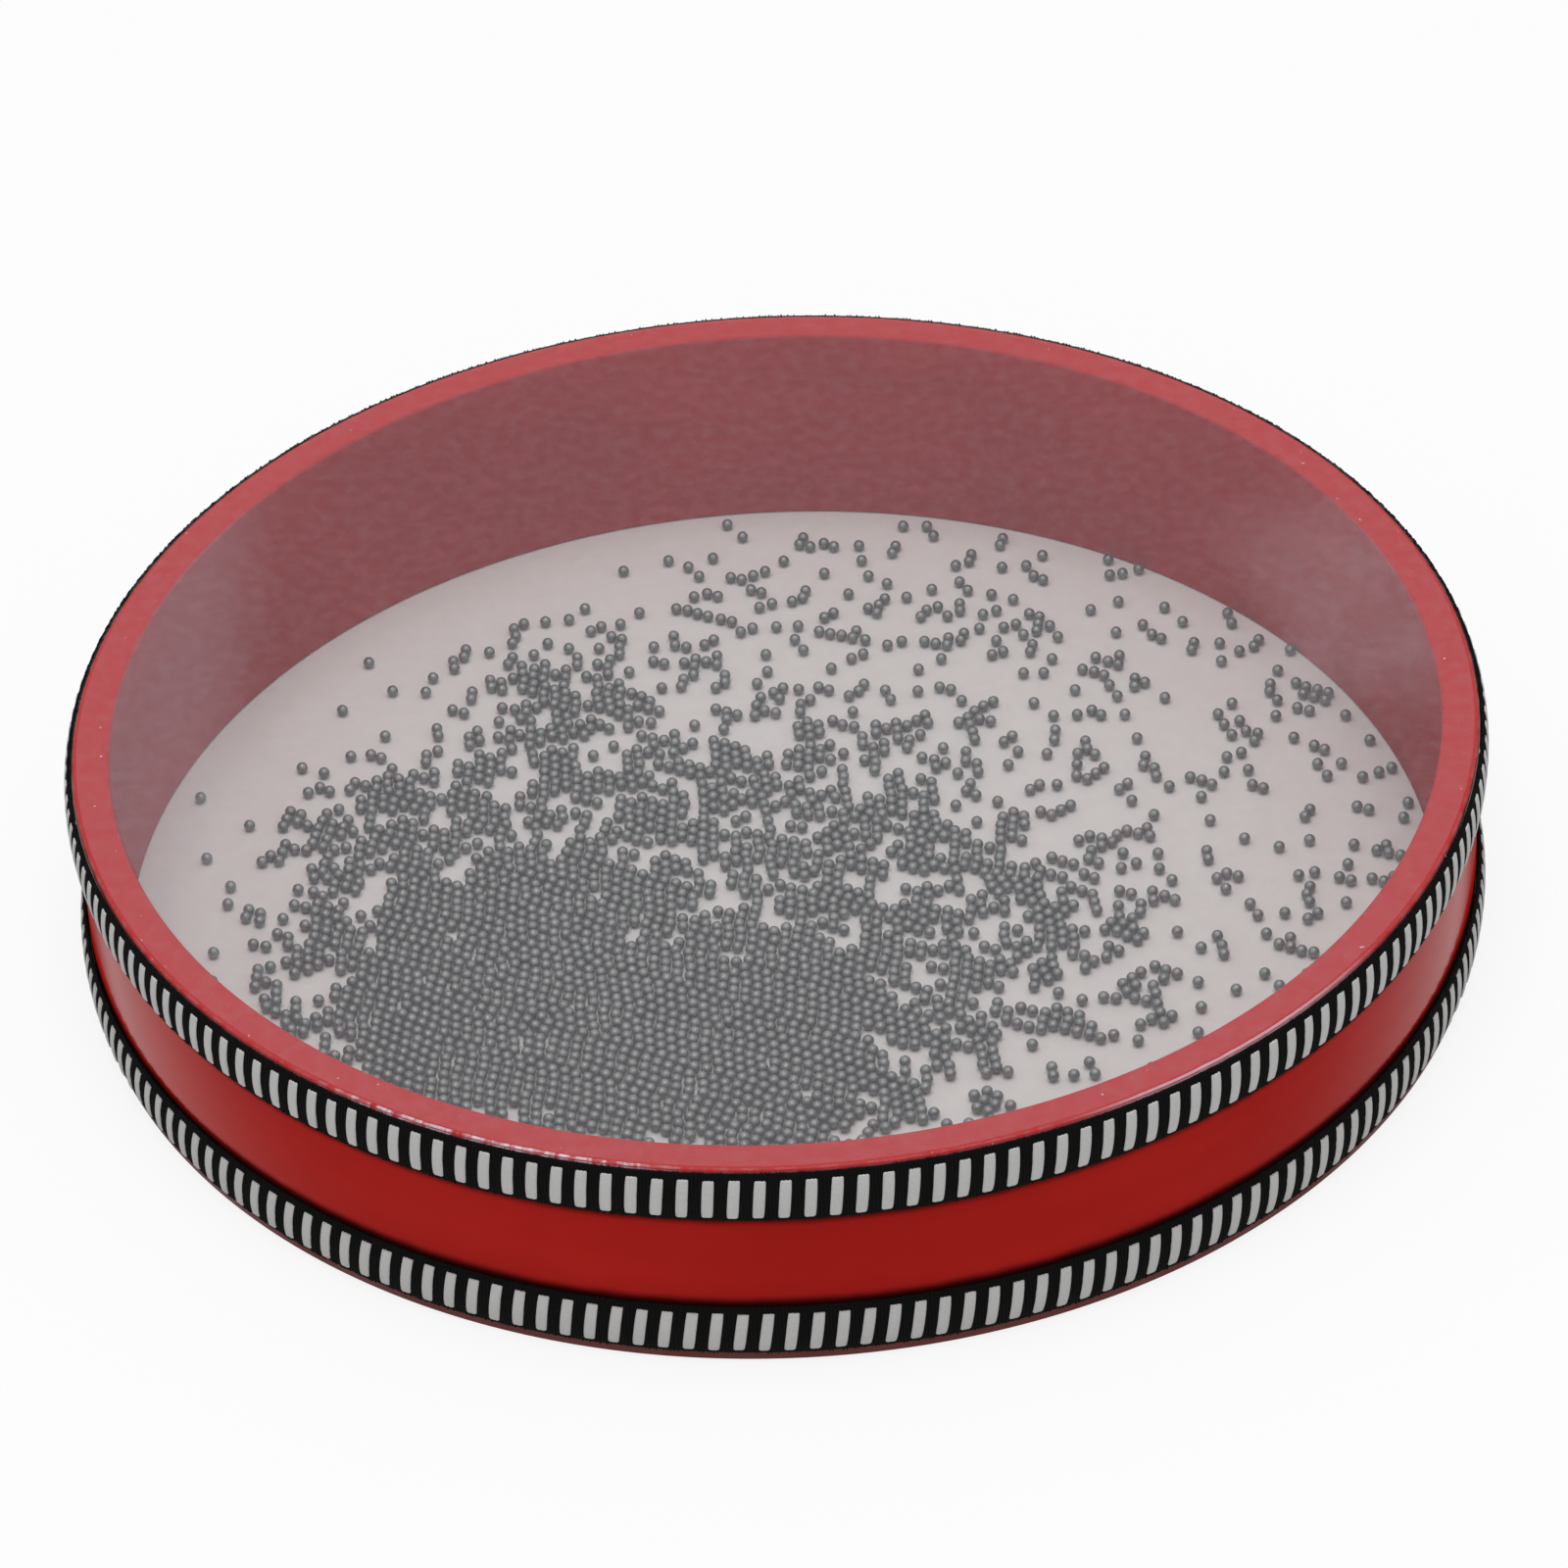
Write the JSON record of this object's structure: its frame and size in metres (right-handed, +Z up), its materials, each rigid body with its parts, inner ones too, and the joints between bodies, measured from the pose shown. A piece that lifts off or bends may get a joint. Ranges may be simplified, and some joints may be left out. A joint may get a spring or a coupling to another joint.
{
  "type": "ocean drum",
  "caption": "Shallow round drum with a red gloss wooden shell, a clear upper film and a white lower film, black and white woven braids, and loose steel shot inside.",
  "frame": {"origin": "middle of the underside of the lower head, where the drum rests", "axes": "+Z up along the drum's axis, from the lower head to the upper one; +X to the right and +Y away from the side that the picture is taken from"},
  "size_m": [0.3042, 0.3042, 0.0505],
  "materials": {
    "red_lacquer": "gloss lacquer",
    "adhesive": "clear adhesive film",
    "clear_film": "clear polyester film, slightly hazy",
    "white_film": "white coated polyester film",
    "black_yarn": "woven",
    "white_yarn": "woven",
    "shot_steel": "dull bare steel"
  },
  "bodies": {
    "drum": {"shell": "red_lacquer", "upper_glue_band": "adhesive", "lower_glue_band": "adhesive", "upper_head": "clear_film", "lower_head": "white_film", "upper_braid": "black_yarn", "lower_braid": "black_yarn", "upper_braid_bars": "white_yarn", "lower_braid_bars": "white_yarn"},
    "pooled_balls": {"heap_shot_far_left": "shot_steel", "heap_shot_left": "shot_steel", "heap_shot_right": "shot_steel", "heap_shot_far_right": "shot_steel", "fringe_shot_left": "shot_steel", "fringe_shot_middle": "shot_steel", "fringe_shot_right": "shot_steel", "loose_shot_left": "shot_steel", "loose_shot_right": "shot_steel"},
    "rim_balls": {"rim_shot": "shot_steel"},
    "hopping_balls": {"hopping_shot": "shot_steel"},
    "hopping_rim_balls": {"hopping_rim_shot": "shot_steel"}
  },
  "joints": [
    {"name": "pooled_swirl", "type": "hinge", "parent": "drum", "child": "pooled_balls", "pos_m": [0, 0, 0.00175], "axis": [0, 0, 1], "continuous": true},
    {"name": "rim_run", "type": "hinge", "parent": "drum", "child": "rim_balls", "pos_m": [0, 0, 0.00175], "axis": [0, 0, 1], "continuous": true},
    {"name": "hop", "type": "slide", "parent": "pooled_balls", "child": "hopping_balls", "axis": [0, 0, 1], "range_m": [0, 0.047]},
    {"name": "rim_hop", "type": "slide", "parent": "rim_balls", "child": "hopping_rim_balls", "axis": [0, 0, 1], "range_m": [0, 0.047]}
  ]
}
